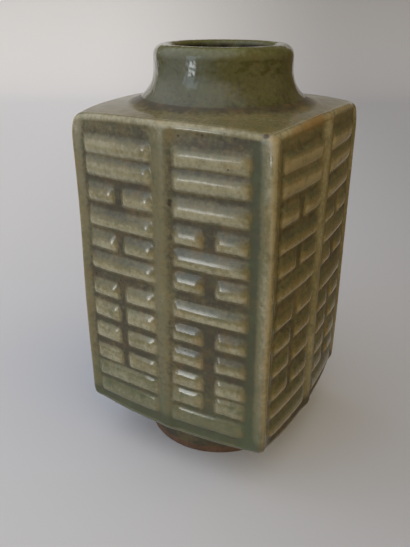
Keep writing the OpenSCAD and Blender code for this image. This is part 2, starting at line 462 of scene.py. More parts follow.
def markObject(name, marks, labels):
    mesh = bpy.data.meshes.new(name)
    mesh.from_pydata([(m[0], 0, m[1]) for m in marks], [], [])
    for at, label in enumerate(labels):
        layer = mesh.attributes.new(label, "FLOAT", "POINT")
        layer.data.foreach_set("value", [m[2 + at] for m in marks])
    made = bpy.data.objects.new(name, mesh)
    bpy.context.scene.collection.objects.link(made)
    return made


reliefShares = ("barShare", "sunkShare", "aboveCrest")  # noted on the sheet for the glaze


def namedValue(tree, label):
    made = addNode(tree, "GeometryNodeInputNamedAttribute", data_type="FLOAT")
    made.inputs["Name"].default_value = label
    return made.outputs["Attribute"]


def copiesOn(tree, marks, shape, size, turn=(0, 0, 0)):
    # one copy of a shape on each mark, scaled by its own size
    info = addNode(tree, "GeometryNodeObjectInfo")
    plug(tree, marks, info.inputs["Object"])
    scale = addNode(tree, "ShaderNodeCombineXYZ")
    for value, socket in zip(size, scale.inputs):
        plug(tree, value, socket)
    copies = addNode(tree, "GeometryNodeInstanceOnPoints")
    plug(tree, info.outputs["Geometry"], copies.inputs["Points"])
    plug(tree, shape, copies.inputs["Instance"])
    plug(tree, scale.outputs[0], copies.inputs["Scale"])
    copies.inputs["Rotation"].default_value = turn
    real = addNode(tree, "GeometryNodeRealizeInstances")
    plug(tree, copies.outputs["Instances"], real.inputs[0])
    return real.outputs[0]


def nearestOn(tree, target, element, place):
    made = addNode(tree, "GeometryNodeProximity", target_element=element)
    plug(tree, target, made.inputs["Geometry"])
    plug(tree, place, made.inputs["Sample Position"])
    return made.outputs


def roundedOff(tree, value):
    # 1 at zero, falling along a parabola to 0 at one
    squared = calc(tree, "MULTIPLY", value, value)
    return calc(tree, "MAXIMUM", calc(tree, "SUBTRACT", 1.0, squared), 0.0)


def makeReliefTree():
    tree = bpy.data.node_groups.new("trigramRelief", "GeometryNodeTree")
    floats = (
        ("Row Height", trigramLines["rowHeight"]),
        ("Relief", trigramLines["relief"]),
        ("Crest", trigramLines["crest"]),
        ("Crest Rise", trigramLines["crestRise"]),
        ("Roundness", trigramLines["roundness"]),
        ("Face Roundness", trigramLines["faceRoundness"]),
        ("Left Run", trigramLines["leftRun"]),
        ("Right Run", trigramLines["rightRun"]),
        ("Panel Depth", trigramLines["panelDepth"]),
        ("Panel Corner", trigramLines["panelCorner"]),
        ("Panel Slope", trigramLines["panelSlope"]),
        ("Wobble", trigramLines["wobble"]),
        ("Wobble Scale", trigramLines["wobbleScale"]),
    )
    inputs = [("Geometry", "NodeSocketGeometry", None)]
    inputs += [("Line Marks", "NodeSocketObject", None), ("Panel Marks", "NodeSocketObject", None)]
    inputs += [(label, "NodeSocketFloat", value) for label, value in floats]
    inputs += [("Seed", "NodeSocketInt", trigramLines["seed"]), ("Material", "NodeSocketMaterial", None)]
    given, result = groupSockets(tree, inputs, [("Geometry", "NodeSocketGeometry")])
    get = given.outputs

    # a short line for each raised bar, its length from the mark
    core = addNode(tree, "GeometryNodeMeshLine", mode="END_POINTS")
    core.inputs["Count"].default_value = 2
    core.inputs["Start Location"].default_value = (-1, 0, 0)
    core.inputs["Offset"].default_value = (1, 0, 0)
    lineSize = (namedValue(tree, "halfLength"), 1, 1)
    lines = copiesOn(tree, get["Line Marks"], core.outputs["Mesh"], lineSize)

    # a flat sheet for each sunk panel
    sheet = addNode(tree, "GeometryNodeMeshGrid")
    for label in ("Size X", "Size Y", "Vertices X", "Vertices Y"):
        sheet.inputs[label].default_value = 2
    halves = (namedValue(tree, label) for label in ("halfX", "halfZ"))
    panelSize = [calc(tree, "SUBTRACT", half, get["Panel Corner"]) for half in halves] + [1]
    panels = copiesOn(tree, get["Panel Marks"], sheet.outputs["Mesh"], panelSize, (math.pi / 2, 0, 0))

    # each grid point looks for its bar and panel from a slightly wandering place
    place = addNode(tree, "GeometryNodeInputPosition").outputs[0]
    wander = addNode(tree, "ShaderNodeTexNoise", noise_dimensions="4D")
    plug(tree, place, wander.inputs["Vector"])
    plug(tree, get["Wobble Scale"], wander.inputs["Scale"])
    plug(tree, calc(tree, "MULTIPLY", get["Seed"], trigramLines["wobbleStep"]), wander.inputs["W"])
    wander.inputs["Detail"].default_value = trigramLines["wobbleDetail"]
    centred = vectorCalc(tree, "SUBTRACT", wander.outputs["Color"], (0.5, 0.5, 0.5))
    spread = addNode(tree, "ShaderNodeVectorMath", operation="SCALE")
    plug(tree, centred, spread.inputs[0])
    plug(tree, calc(tree, "MULTIPLY", get["Wobble"], 2.0), spread.inputs["Scale"])
    inPlane = vectorCalc(tree, "MULTIPLY", spread.outputs[0], (1, 0, 1))
    moved = shifted(tree, place, inPlane)
    nearLine = nearestOn(tree, lines, "EDGES", moved)
    parts = partsOf(tree, vectorCalc(tree, "SUBTRACT", moved, nearLine["Position"]))

    # pillow section with its crest a little low
    rise = calc(tree, "DIVIDE", parts["Z"], calc(tree, "MULTIPLY", get["Row Height"], 0.5))
    higher = ease(tree, partsOf(tree, place)["Z"], *trigramLines["crestFrom"])
    crest = calc(tree, "MULTIPLY_ADD", higher, get["Crest Rise"], get["Crest"])
    fromCrest = calc(tree, "SUBTRACT", rise, crest)
    upper = calc(tree, "DIVIDE", fromCrest, calc(tree, "SUBTRACT", 1.0, crest))
    room = calc(tree, "MULTIPLY", calc(tree, "ADD", 1.0, crest), -1.0)
    lower = calc(tree, "DIVIDE", fromCrest, room)
    body = roundedOff(tree, calc(tree, "MAXIMUM", upper, lower))
    below = calc(tree, "LESS_THAN", fromCrest, 0.0)
    bend = calc(tree, "SUBTRACT", get["Face Roundness"], get["Roundness"])
    section = calc(tree, "POWER", body, calc(tree, "MULTIPLY_ADD", below, bend, get["Roundness"]))
    onRight = calc(tree, "GREATER_THAN", parts["X"], 0.0)
    moreRun = calc(tree, "SUBTRACT", get["Right Run"], get["Left Run"])
    run = calc(tree, "MULTIPLY_ADD", onRight, moreRun, get["Left Run"])
    endBody = roundedOff(tree, calc(tree, "DIVIDE", calc(tree, "ABSOLUTE", parts["X"]), run))
    endBend = calc(tree, "MULTIPLY", get["Roundness"], trigramLines["endRoundness"])
    ends = calc(tree, "POWER", endBody, endBend)
    bars = calc(tree, "MULTIPLY", calc(tree, "MULTIPLY", section, ends), get["Relief"])

    outside = calc(tree, "SUBTRACT", nearestOn(tree, panels, "FACES", moved)["Distance"], get["Panel Corner"])
    sunk = ease(tree, outside, calc(tree, "MULTIPLY", get["Panel Slope"], -1.0), 0.0, 1.0, 0.0)
    depth = calc(tree, "MULTIPLY", sunk, get["Panel Depth"])
    height = calc(tree, "SUBTRACT", bars, depth)

    push = addNode(tree, "ShaderNodeCombineXYZ")
    plug(tree, calc(tree, "MULTIPLY", height, -1.0), push.inputs[1])
    sheetNow = get["Geometry"]
    notes = (calc(tree, "DIVIDE", bars, get["Relief"]), sunk, upper)
    for label, value in zip(reliefShares, notes):
        note = addNode(tree, "GeometryNodeStoreNamedAttribute", data_type="FLOAT", domain="POINT")
        note.inputs["Name"].default_value = label
        plug(tree, sheetNow, note.inputs["Geometry"])
        plug(tree, value, note.inputs["Value"])
        sheetNow = note.outputs[0]
    pressed = addNode(tree, "GeometryNodeSetPosition")
    plug(tree, sheetNow, pressed.inputs["Geometry"])
    plug(tree, push.outputs[0], pressed.inputs["Offset"])
    whole = addNode(tree, "GeometryNodeRealizeInstances")
    plug(tree, pressed.outputs[0], whole.inputs[0])
    painted = addNode(tree, "GeometryNodeSetMaterial")
    plug(tree, whole.outputs[0], painted.inputs["Geometry"])
    plug(tree, get["Material"], painted.inputs["Material"])
    plug(tree, painted.outputs[0], result.inputs["Geometry"])
    return tree


def setInput(modifier, label, value):
    for item in modifier.node_group.interface.items_tree:
        if item.item_type == "SOCKET" and item.in_out == "INPUT" and item.name == label:
            modifier[item.identifier] = value


def pressRelief(tree, marks, panels, alongValues, heightValues, seed, material):
    # flat sheet in, height of the pressed surface out
    grid = np.zeros((len(heightValues), len(alongValues), 3))
    grid[..., 0] = alongValues[None, :]
    grid[..., 2] = heightValues[:, None]
    mesh = bpy.data.meshes.new("reliefSheet")
    mesh.from_pydata([tuple(p) for p in grid.reshape(-1, 3)], [], gridFaces(*grid.shape[:2]).tolist())
    sheet = bpy.data.objects.new("reliefSheet", mesh)
    bpy.context.scene.collection.objects.link(sheet)
    modifier = sheet.modifiers.new("trigramRelief", "NODES")
    modifier.node_group = tree
    setInput(modifier, "Line Marks", marks)
    setInput(modifier, "Panel Marks", panels)
    setInput(modifier, "Seed", seed)
    setInput(modifier, "Material", material)
    bpy.context.view_layer.update()
    settled = sheet.evaluated_get(bpy.context.evaluated_depsgraph_get())
    plain = bpy.data.meshes.new_from_object(settled)
    sheet.modifiers.remove(modifier)
    places = np.zeros(len(plain.vertices) * 3, np.float32)
    plain.vertices.foreach_get("co", places)
    shares = []
    for label in reliefShares:
        share = np.zeros(len(plain.vertices), np.float32)
        plain.attributes[label].data.foreach_get("value", share)
        shares.append(share.reshape(grid.shape[:2]).astype(float))
    bpy.data.objects.remove(sheet)
    bpy.data.meshes.remove(mesh)
    bpy.data.meshes.remove(plain)
    return -places.reshape(grid.shape)[..., 1].astype(float), *shares


# Glaze shader groups
glazeTones = {
    "Thin": (0.300, 0.284, 0.186),  # where the glaze breaks over an edge
    "Body": (0.140, 0.126, 0.062),
    "Pool": (0.044, 0.036, 0.019),
    "Warm": (0.215, 0.130, 0.038),
    "Green": (0.060, 0.078, 0.036),
    "Iron": (0.030, 0.016, 0.009),
}
neckTones = {
    "Thin": (0.122, 0.138, 0.052),
    "Body": (0.056, 0.058, 0.013),
    "Pool": (0.020, 0.018, 0.006),
    "Warm": (0.085, 0.055, 0.016),
    "Green": (0.070, 0.082, 0.022),
}
# painted shade inside the throat
throatShadeTones = {
    "Thin": (0.03, 0.03, 0.016),
    "Body": (0.01, 0.009, 0.004),
    "Pool": (0.004, 0.0035, 0.002),
}
glazeLook = {
    "cloudScale": 34,  # slow drift of the glaze's depth, and fine grain
    "cloud": 0.6,
    "grainScale": 420,
    "grain": 0.7,
    "poolToBody": (0.05, 0.5),
    "bodyToThin": (0.5, 1.0),
    "mottles": (
        # what adds to it, its tone, offset of the pattern, scale and strength
        ("WarmthShadeAndLight", "Warm", (0.7, 4.2, 2.6), 110, 0.3),
        ("Leaf", "Green", (6.4, 1.2, 7.6), 130, 0.45),
    ),
    "speckScale": 150,
    "speckSize": (0.06, 0.13),
    "speckFrom": 0.93,  # only cells above this have a speck
    "speckDark": 0.8,
    "speckDull": 0.3,
    "speckDent": 0.6,
    "satinScale": 95,
    "gloss": (0.09, 0.17),  # roughness from wet to satin
    "deepFrom": (0.2, 0.5),
    "deepDull": 0.2,
    "peelScale": 190,
    "runScale": 620,
    "runs": 0.35,
    "runStretch": (1.0, 1.0, 0.3),
    "bump": 0.09 * mm,
    "ior": 1.46,
    "coat": 0.3,
    "coatRoughness": 0.05,
}


def glazeSkin(tree, place):
    # orange peel, and runs that follow the fall of the glaze
    peel = noiseAt(tree, shifted(tree, place, (1.3, 6.1, 0.8)), glazeLook["peelScale"], 2.0, 0.5)
    fall = vectorCalc(tree, "MULTIPLY", shifted(tree, place, (5.2, 0.6, 3.3)), glazeLook["runStretch"])
    runs = noiseAt(tree, fall, glazeLook["runScale"], 2.0, 0.5)
    return calc(tree, "ADD", peel, calc(tree, "MULTIPLY", runs, glazeLook["runs"]))


def makeGlazeGroup():
    tree = bpy.data.node_groups.new("celadonTone", "ShaderNodeTree")
    colour = "NodeSocketColor"
    number = "NodeSocketFloat"
    inputs = [("Place", "NodeSocketVector", None), ("ThinnessShadeAndLight", number, 0.5)]
    inputs += [("WarmthShadeAndLight", number, 0.0), ("Leaf", number, 0.0), ("Mark", number, 0.0)]
    inputs += [(label, colour, (*tone, 1)) for label, tone in glazeTones.items()]
    outputs = [("Colour", colour), ("Roughness", number), ("Height", number)]
    given, result = groupSockets(tree, inputs, outputs)
    get = given.outputs
    place = get["Place"]
    look = glazeLook
    # glaze depth wanders, so the tone does too
    drift = noiseAt(tree, place, look["cloudScale"], 3.0, 0.55, 0.3)
    fine = noiseAt(tree, shifted(tree, place, (3.1, 1.7, 0.4)), look["grainScale"], 3.0, 0.6)
    cloud = calc(tree, "MULTIPLY", calc(tree, "SUBTRACT", drift, 0.5), look["cloud"])
    grain = calc(tree, "MULTIPLY", calc(tree, "SUBTRACT", fine, 0.5), look["grain"])
    depth = calc(tree, "ADD", get["ThinnessShadeAndLight"], calc(tree, "ADD", cloud, grain))
    tone = mixColour(tree, ease(tree, depth, *look["poolToBody"]), get["Pool"], get["Body"])
    tone = mixColour(tree, ease(tree, depth, *look["bodyToThin"]), tone, get["Thin"])
    # warm and green mottling
    for added, mottle, offset, scale, strength in look["mottles"]:
        patches = noiseAt(tree, shifted(tree, place, offset), scale, 4.0, 0.7)
        share = calc(tree, "ADD", ease(tree, patches, 0.45, 0.75, 0.0, strength), get[added])
        tone = mixColour(tree, calc(tree, "MINIMUM", share, 1.0), tone, get[mottle])
    # iron specks
    cells = addNode(tree, "ShaderNodeTexVoronoi")
    plug(tree, place, cells.inputs["Vector"])
    cells.inputs["Scale"].default_value = look["speckScale"]
    dot = ease(tree, cells.outputs["Distance"], *look["speckSize"], 1.0, 0.0)
    chosen = calc(tree, "GREATER_THAN", partsOf(tree, cells.outputs["Color"])[0], look["speckFrom"])
    speck = calc(tree, "MAXIMUM", calc(tree, "MULTIPLY", dot, chosen), get["Mark"])
    tone = mixColour(tree, calc(tree, "MULTIPLY", speck, look["speckDark"]), tone, get["Iron"])
    plug(tree, tone, result.inputs["Colour"])
    # glossy, with a duller skin where it lies deep
    satin = noiseAt(tree, shifted(tree, place, (8.0, 0.3, 5.5)), look["satinScale"], 3.0, 0.6)
    deep = ease(tree, get["ThinnessShadeAndLight"], *look["deepFrom"], look["deepDull"], 0.0)
    speckRough = calc(tree, "MULTIPLY", speck, look["speckDull"])
    rough = calc(tree, "ADD", ease(tree, satin, 0.3, 0.75, *look["gloss"]), speckRough)
    plug(tree, calc(tree, "ADD", rough, deep), result.inputs["Roughness"])
    dent = calc(tree, "MULTIPLY", speck, look["speckDent"])
    plug(tree, calc(tree, "SUBTRACT", glazeSkin(tree, place), dent), result.inputs["Height"])
    return tree


glazeGroup = makeGlazeGroup()


def newMaterial(name):
    material = bpy.data.materials.new(name)
    material.use_nodes = True
    tree = material.node_tree
    shader = tree.nodes["Principled BSDF"]
    return material, tree, shader


def attributeValue(tree, label):
    return addNode(tree, "ShaderNodeAttribute", attribute_name=label).outputs["Fac"]


def objectPlace(tree):
    return addNode(tree, "ShaderNodeTexCoord").outputs["Object"]


def glazeOver(tree, coords, thin, tones=None):
    group = addNode(tree, "ShaderNodeGroup")
    group.node_tree = glazeGroup
    plug(tree, coords, group.inputs["Place"])
    plug(tree, thin, group.inputs["ThinnessShadeAndLight"])
    for label, tone in (tones or {}).items():
        group.inputs[label].default_value = (*tone, 1)
    return group


def glazeNodes(tree, shader, tones=None, bumpDepth=glazeLook["bump"]):
    coords = objectPlace(tree)
    group = glazeOver(tree, coords, attributeValue(tree, "glazeThinShadeAndLight"), tones)
    plug(tree, bumpFrom(tree, group.outputs["Height"], bumpDepth), shader.inputs["Normal"])
    plug(tree, bumpFrom(tree, glazeSkin(tree, coords), bumpDepth), shader.inputs["Coat Normal"])
    plug(tree, group.outputs["Roughness"], shader.inputs["Roughness"])
    shader.inputs["IOR"].default_value = glazeLook["ior"]
    shader.inputs["Coat Weight"].default_value = glazeLook["coat"]
    shader.inputs["Coat Roughness"].default_value = glazeLook["coatRoughness"]
    return coords, group


# Places where the fired glaze is marked: along the front wall, height and radius, in mm
glazeMarks = {
    "specks": (
        (10.4, 219.8, 1.0),
        (24.4, 221.5, 0.9),
        (36.6, 223.1, 0.9),
        (39.6, 205.6, 0.9),
        (33.7, 101.2, 0.8),
    ),
    "pits": ((4.9, 184.2, 1.7), (4.6, 182.2, 1.5), (52.6, 85.4, 1.1)),
    "flatten": (1.0, 0.15, 1.0),  # marks reach through the relief
    "core": 0.45,  # share of the radius that is fully dark
    "notch": ((57.6, -62.9, 223.7), 2.1),  # on the rim: place and radius
}


def spotMask(tree, coords, spots, flatten=(1.0, 1.0, 1.0)):
    pressed = vectorCalc(tree, "MULTIPLY", coords, flatten)
    mask = None
    for place, radius in spots:
        far = addNode(tree, "ShaderNodeVectorMath", operation="DISTANCE")
        plug(tree, pressed, far.inputs[0])
        far.inputs[1].default_value = tuple(a * b * mm for a, b in zip(place, flatten))
        core = glazeMarks["core"] * radius
        spot = ease(tree, far.outputs["Value"], core * mm, radius * mm, 1.0, 0.0)
        mask = spot if mask is None else calc(tree, "MAXIMUM", mask, spot)
    return mask


def wallMarks(tree, coords):
    front = -wallShape["bowOut"] / mm
    spots = [((x, front, z), radius) for x, z, radius in glazeMarks["specks"] + glazeMarks["pits"]]
    return spotMask(tree, coords, spots, glazeMarks["flatten"])


# Brown iron that ran along the top edge of the right wall
ironEdge = {
    "from": 63 * mm,
    "to": 66.5 * mm,
    "low": 219 * mm,
    "high": 224.5 * mm,
    "start": 12 * mm,
    "end": -25 * mm,
    "scale": 70,
    "strength": (0.15, 0.85),
}


def edgeWarmth(tree, coords):
    parts = partsOf(tree, coords)
    side = ease(tree, parts["X"], ironEdge["from"], ironEdge["to"])
    top = ease(tree, parts["Z"], ironEdge["low"], ironEdge["high"])
    near = ease(tree, parts["Y"], ironEdge["end"], ironEdge["start"], 1.0, 0.0)
    streak = noiseAt(tree, shifted(tree, coords, (2.2, 7.7, 1.1)), ironEdge["scale"], 3.0, 0.6)
    mask = calc(tree, "MULTIPLY", calc(tree, "MULTIPLY", side, top), near)
    return calc(tree, "MULTIPLY", mask, ease(tree, streak, 0.3, 0.6, *ironEdge["strength"]))


# Gloss of each glazed piece; the walls' frame is duller than the raised lines
wallGloss = {"coat": 0.45, "dullCoat": -0.41, "dullRoughness": 0.24}
shoulderGloss = {"coat": 0.15, "roughness": 0.08}
neckGloss = {
    "coat": 0.85,
    "coatRoughness": 0.09,
    "specular": 0.5,
    "bump": 0.16 * mm,
    "wave": 0.8 * mm,  # slow waves in the thick glaze break up what it mirrors
    "waveScale": 110,
    "throatThin": 0.4,
    "throatRoughness": 0.45,
    "throatSpecular": -0.4,
}


def makeWallGlaze():
    material, tree, shader = newMaterial("wallGlaze")
    coords, group = glazeNodes(tree, shader)
    notch = spotMask(tree, coords, (glazeMarks["notch"],))
    plug(tree, calc(tree, "MAXIMUM", wallMarks(tree, coords), notch), group.inputs["Mark"])
    warmthShadeAndLight = calc(tree, "MAXIMUM", edgeWarmth(tree, coords), attributeValue(tree, "glazeWarmShadeAndLight"))
    plug(tree, warmthShadeAndLight, group.inputs["WarmthShadeAndLight"])
    plug(tree, attributeValue(tree, "glazeGreen"), group.inputs["Leaf"])
    plug(tree, group.outputs["Colour"], shader.inputs["Base Color"])
    dull = attributeValue(tree, "glazeDull")
    rough = calc(tree, "MULTIPLY_ADD", dull, wallGloss["dullRoughness"], group.outputs["Roughness"])
    plug(tree, rough, shader.inputs["Roughness"])
    coat = calc(tree, "MULTIPLY_ADD", dull, wallGloss["dullCoat"], wallGloss["coat"])
    plug(tree, coat, shader.inputs["Coat Weight"])
    return material


def makeShoulderGlaze():
    material, tree, shader = newMaterial("shoulderGlaze")
    coords, group = glazeNodes(tree, shader)
    plug(tree, edgeWarmth(tree, coords), group.inputs["WarmthShadeAndLight"])
    plug(tree, spotMask(tree, coords, (glazeMarks["notch"],)), group.inputs["Mark"])
    plug(tree, group.outputs["Colour"], shader.inputs["Base Color"])
    rough = calc(tree, "ADD", group.outputs["Roughness"], shoulderGloss["roughness"])
    plug(tree, rough, shader.inputs["Roughness"])
    shader.inputs["Coat Weight"].default_value = shoulderGloss["coat"]
    return material


def makeNeckGlaze():
    # dark olive outside; a painted shade makes it almost black down the throat
    material, tree, shader = newMaterial("neckGlaze")
    coords, group = glazeNodes(tree, shader, neckTones, neckGloss["bump"])
    throat = glazeOver(tree, coords, neckGloss["throatThin"], throatShadeTones)
    inside = attributeValue(tree, "throat")
    colour = mixColour(tree, inside, group.outputs["Colour"], throat.outputs["Colour"])
    plug(tree, colour, shader.inputs["Base Color"])
    rough = calc(tree, "MULTIPLY_ADD", inside, neckGloss["throatRoughness"], group.outputs["Roughness"])
    plug(tree, rough, shader.inputs["Roughness"])
    coat = calc(tree, "MULTIPLY_ADD", inside, -neckGloss["coat"], neckGloss["coat"])
    plug(tree, coat, shader.inputs["Coat Weight"])
    shader.inputs["Coat Roughness"].default_value = neckGloss["coatRoughness"]
    specular = calc(tree, "MULTIPLY_ADD", inside, neckGloss["throatSpecular"], neckGloss["specular"])
    plug(tree, specular, shader.inputs["Specular IOR Level"])
    wave = noiseAt(tree, shifted(tree, coords, (3.1, 0.4, 2.2)), neckGloss["waveScale"], 2.0, 0.5)
    for label in ("Normal", "Coat Normal"):
        under = shader.inputs[label].links[0].from_socket
        plug(tree, bumpFrom(tree, wave, neckGloss["wave"], 1.0, under), shader.inputs[label])
    return material


def makeBaseGlaze():
    material, tree, shader = newMaterial("baseGlaze")
    group = glazeNodes(tree, shader)[1]
    plug(tree, group.outputs["Colour"], shader.inputs["Base Color"])
    return material


clayLook = {
    "pale": (0.135, 0.078, 0.046),
    "dark": (0.06, 0.033, 0.02),
    "gritScale": 900,
    "cloudScale": 60,
    "footGrit": 0.12 * mm,
    "coilGrit": 0.15 * mm,
    "bareDull": 0.6,
    "coilRoughness": (0.55, 0.75),
    "bareEdge": 130,  # scale of the uneven line where the glaze ends
}


def clayColour(tree, coords):
    grit = noiseAt(tree, coords, clayLook["gritScale"], 4.0, 0.7)
    cloud = noiseAt(tree, shifted(tree, coords, (2.0, 5.0, 1.0)), clayLook["cloudScale"], 3.0, 0.6)
    share = calc(tree, "ADD", calc(tree, "MULTIPLY", grit, 0.5), calc(tree, "MULTIPLY", cloud, 0.5))
    return mixColour(tree, ease(tree, share, 0.35, 0.65), clayLook["dark"], clayLook["pale"]), grit


def makeFootClay():
    # dark glaze above an uneven line, bare burnt clay below it
    material, tree, shader = newMaterial("footClay")
    coords = objectPlace(tree)
    group = glazeOver(tree, coords, attributeValue(tree, "glazeThinShadeAndLight"))
    clay, grit = clayColour(tree, coords)
    edge = noiseAt(tree, shifted(tree, coords, (4.0, 4.0, 0.0)), clayLook["bareEdge"], 3.0, 0.6)
    uneven = calc(tree, "MULTIPLY", calc(tree, "SUBTRACT", edge, 0.5), 0.5)
    bare = calc(tree, "ADD", attributeValue(tree, "bareClay"), uneven)
    share = ease(tree, bare, 0.42, 0.58)
    plug(tree, mixColour(tree, share, group.outputs["Colour"], clay), shader.inputs["Base Color"])
    dull = calc(tree, "MULTIPLY", share, clayLook["bareDull"])
    plug(tree, calc(tree, "ADD", group.outputs["Roughness"], dull), shader.inputs["Roughness"])
    bareGrit = calc(tree, "MULTIPLY", grit, share)
    plug(tree, bumpFrom(tree, bareGrit, clayLook["footGrit"]), shader.inputs["Normal"])
    return material


def makeCoilClay():
    material, tree, shader = newMaterial("coilClay")
    clay, grit = clayColour(tree, objectPlace(tree))
    plug(tree, clay, shader.inputs["Base Color"])
    plug(tree, ease(tree, grit, 0.2, 0.8, *clayLook["coilRoughness"]), shader.inputs["Roughness"])
    plug(tree, bumpFrom(tree, grit, clayLook["coilGrit"]), shader.inputs["Normal"])
    return material


wallGlaze = makeWallGlaze()
shoulderGlaze = makeShoulderGlaze()
neckGlaze = makeNeckGlaze()
baseGlaze = makeBaseGlaze()
footClay = makeFootClay()
coilClay = makeCoilClay()
print("materials made")


# Walls
def turnAbout(points, quarter):
    cosine, sine = ((1, 0), (0, 1), (-1, 0), (0, -1))[quarter]
    turned = points.copy()
    turned[..., 0] = cosine * points[..., 0] - sine * points[..., 1]
    turned[..., 1] = sine * points[..., 0] + cosine * points[..., 1]
    return turned


arris = wallShape["arris"]
arrisTurn = math.pi / 2 - shoulderShape["slant"]
seamInset = arris * (1 - math.cos(arrisTurn))
columnStep = 2 * halfPath / wallShape["columns"]
alongGhost = -halfPath + columnStep * np.arange(-1, wallShape["columns"] + 2)
planX, planY, planNx, planNy = wallPath(alongGhost)
seamRadius = np.hypot(planX - planNx * seamInset, planY - planNy * seamInset)
topSeam = shoulderHeight(seamRadius)
lowSeam = undersideHeight(seamRadius)
topStraight = topSeam - arris * math.sin(arrisTurn)
lowStraight = lowSeam + arris * math.sin(arrisTurn)
evenTop = topStraight[len(alongGhost) // 2]
evenLow = lowStraight[len(alongGhost) // 2]
straightZ = np.linspace(evenLow, evenTop, wallShape["rows"])
arrisAngles = arrisTurn * np.arange(1, wallShape["arrisRows"] + 1) / wallShape["arrisRows"]
ringStep = 0.45 * mm  # inset of the first ring past a seam
seatStep = 0.4 * mm  # and of the last ring past the seat


def wallRow(inset, z):
    return np.stack((planX - planNx * inset, planY - planNy * inset, z), -1)


def rimRows(edge, straight, side, heightAt):
    # from the straight rows round the rim, then a ghost row past the seam
    rows = []
    for angle in arrisAngles:
        inset = arris * (1 - math.cos(angle)) - edge * (1 - angle / arrisTurn)
        rows.append(wallRow(inset, straight + side * arris * math.sin(angle)))
    ghost = wallRow(seamInset + ringStep, 0 * planX)
    ghost[:, 2] = heightAt(np.hypot(ghost[:, 0], ghost[:, 1]))
    return rows + [ghost]


def wallSkin(relief):
    # low rim, straight rows that bend to follow it at both ends, top rim
    lowBlend = eased(1 - ramp(straightZ, evenLow, wallShape["edgeBlend"]))
    topBlend = eased(1 - ramp(straightZ, evenTop, -wallShape["edgeBlend"]))
    rows = rimRows(relief[0], lowStraight, -1, undersideHeight)[::-1]
    for at, z in enumerate(straightZ):
        level = z + lowBlend[at] * (lowStraight - evenLow) + topBlend[at] * (topStraight - evenTop)
        rows.append(wallRow(-relief[at], level))
    return np.array(rows + rimRows(relief[-1], topStraight, 1, shoulderHeight))


# Where glaze thins and gathers on a wall, and where shade and light are painted on it, in mm along it from
# its middle and up from the foot.
# Pairs are where a change starts and how far it runs, or the middle and width of a band.
glazeLie = {
    "endSoft": 0.6,
    "endSteep": 0.35,
    "barFull": 0.25,  # share of the relief from which a line counts in full
    "slope": (0.12, 0.5),  # upper side of a line
    "shadeBelow": 1.5,  # painted shade lies this far under a line
    "rib": (-5, 3.5),
    "ribClear": 0.85,
    "margin": (59, -3),
    "foot": (75, -40),
    "dipLeft": 105,
    "dipRight": 62,
    "dipOver": 25,
    "belly": (90, 30),
    "corner": (57, 3),
    "faceEdge": (0.1, -0.2),
    "near": (52, 5),
    "head": (214, 6),
    "headThin": 0.14,
    "sole": (42, -7),
    "soleThin": -0.6,
    "dullRight": 62,
    "dullLeft": 99,
    "dullLeftWarm": 57,
    "dullOver": -4,
    "dullBars": (160, 10),
    "dullBar": 0.4,
    "soft": 0.8,
}
# How much each adds to the thinness, the warmth and the green of three walls
plainTone = {
    "start": 0.5,
    "pooled": -0.38,
    "bar": 0.36,
    "slope": -0.12,
    "dippedSlope": -0.5,
    "belly": -0.06,
    "leftEnd": 0.06,
    # painted shade in the hollow under each line
    "under": -0.12,
    "corner": 0.14,
    "footLeft": -0.14,
    "footRight": -0.3,
    # darker strips by both margins, and a painted shade on the rib's right flank
    "bands": ((55, 3, -0.14), (-57.5, 2.5, -0.08), (3, 2, -0.1)),
    "underShadeWarm": 0.1,
    "leftEndWarm": 0.1,
    # painted warm light on the lines' right-facing ends, in the left and right column
    "endLightLeft": 0.1,
    "endLightRight": 0.35,
    "footGreen": 0.55,
    "footEndGreen": -0.5,
    "slopeGreen": 0.15,
    "greenBands": ((55, 4, 0.5),),
}
# The same for the right wall, browner and darker: a painted shade for the wall that stands in shade
shadedWallTone = {
    "start": 0.56,
    "pooled": -0.34,
    "bar": 0.12,
    "slope": -0.46,
    "faceEdge": 0.4,
    "leftEnd": 0.1,
    "frame": 0.1,
    "near": -0.08,
    # painted light on the rib's left flank, painted shade on its right flank
    "bands": ((-4, 3, 0.1), (4, 3, -0.14)),
    "barWarm": 0.2,
    "leftEndWarm": 0.1,
    "slopeGreen": 0.35,
    "nearGreen": 0.12,
}
# Rounded rims and upright corners
wallEdges = {
    "rim": 0.54,
    # the low rim darker: thicker glaze and painted shade; the top rim paler: glaze thin over the edge and a
    # painted highlight
    "lowRim": -0.24,
    "topRim": 0.3,
    "wide": (3, 0.12),  # width and how much paler
    "narrow": (1.1, 0.6),
    "warm": (2.5, 0.3),
    "bright": (188, 24),  # the arris shines most at this height
    "brightLow": 0.25,
}
hiddenThin = 0.35  # glaze value on faces inside the pot


def sumBands(at, bands):
    return sum(amount * bump(at, middle, width) for middle, width, amount in bands)


